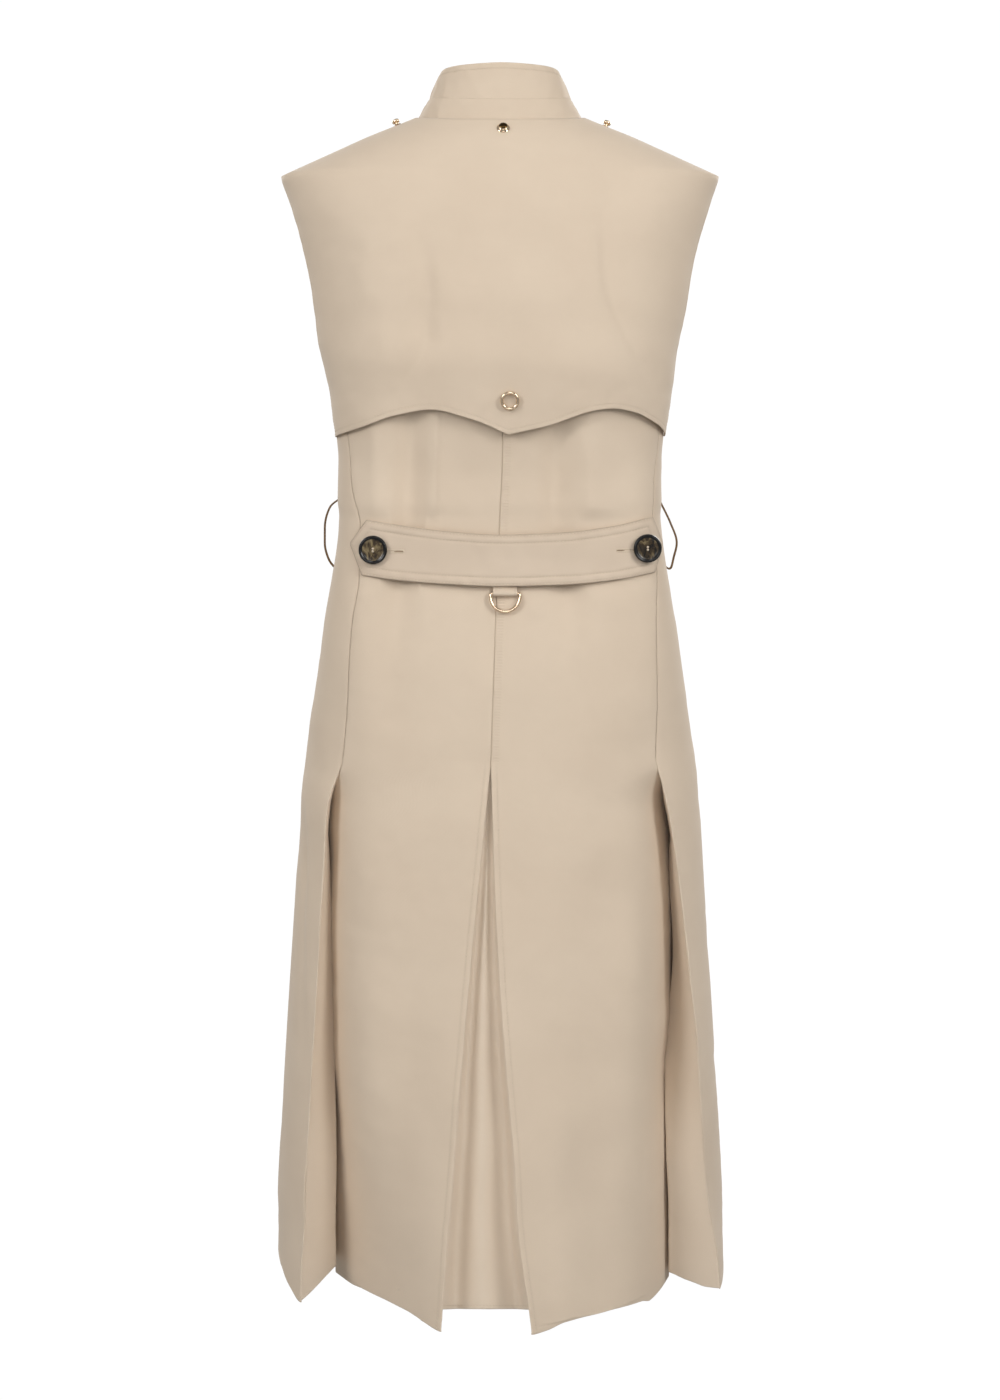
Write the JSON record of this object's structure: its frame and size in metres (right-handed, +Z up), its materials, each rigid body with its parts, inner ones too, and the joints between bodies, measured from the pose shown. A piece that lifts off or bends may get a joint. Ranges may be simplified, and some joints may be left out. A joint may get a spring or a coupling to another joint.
{
  "type": "sleeveless trench dress",
  "caption": "Sleeveless trench dress in beige gabardine, worn and hollow, with storm flap, stand collar, buttoned back tab, D-ring and pleated skirt; the wearer holds it up.",
  "frame": {"origin": "middle of the wearer's neck, level with the side neck points", "axes": "+Z up, -Y towards the wearer's back, +Y towards the front, +X towards the wearer's right"},
  "size_m": [0.457, 0.3498, 1.2241],
  "materials": {
    "gabardine": "matt woven cotton blend",
    "underlay_gabardine": "matt woven cotton blend, in shade",
    "horn": "polished mottled horn",
    "gold_metal": "polished pale gold",
    "loop_ribbon": "plain narrow ribbon"
  },
  "bodies": {
    "garment": {"back_left": "gabardine", "back_right": "gabardine", "side_left": "gabardine", "side_right": "gabardine", "front_left": "gabardine", "front_right": "gabardine", "storm_flap": "gabardine", "collar_stand": "gabardine", "collar_upper": "gabardine", "back_tab": "gabardine", "d_ring_strap": "gabardine", "underlay_centre": "underlay_gabardine", "underlay_left": "underlay_gabardine", "underlay_right": "underlay_gabardine", "tab_button_left": "horn", "tab_button_right": "horn", "front_button_1": "horn", "front_button_2": "horn", "front_button_3": "horn", "front_button_4": "horn", "front_button_5": "horn", "front_button_6": "horn", "shoulder_stud_left": "gold_metal", "shoulder_stud_right": "gold_metal", "neck_stud": "gold_metal", "flap_ring": "gold_metal", "belt_loop_left": "loop_ribbon", "belt_loop_right": "loop_ribbon"},
    "ring": {"d_ring": "gold_metal"}
  },
  "joints": [
    {"name": "ring_swing", "type": "hinge", "parent": "garment", "child": "ring", "pos_m": [0.005, -0.1097, -0.4804], "axis": [-1, 0, 0], "range_deg": [0, 130]}
  ]
}
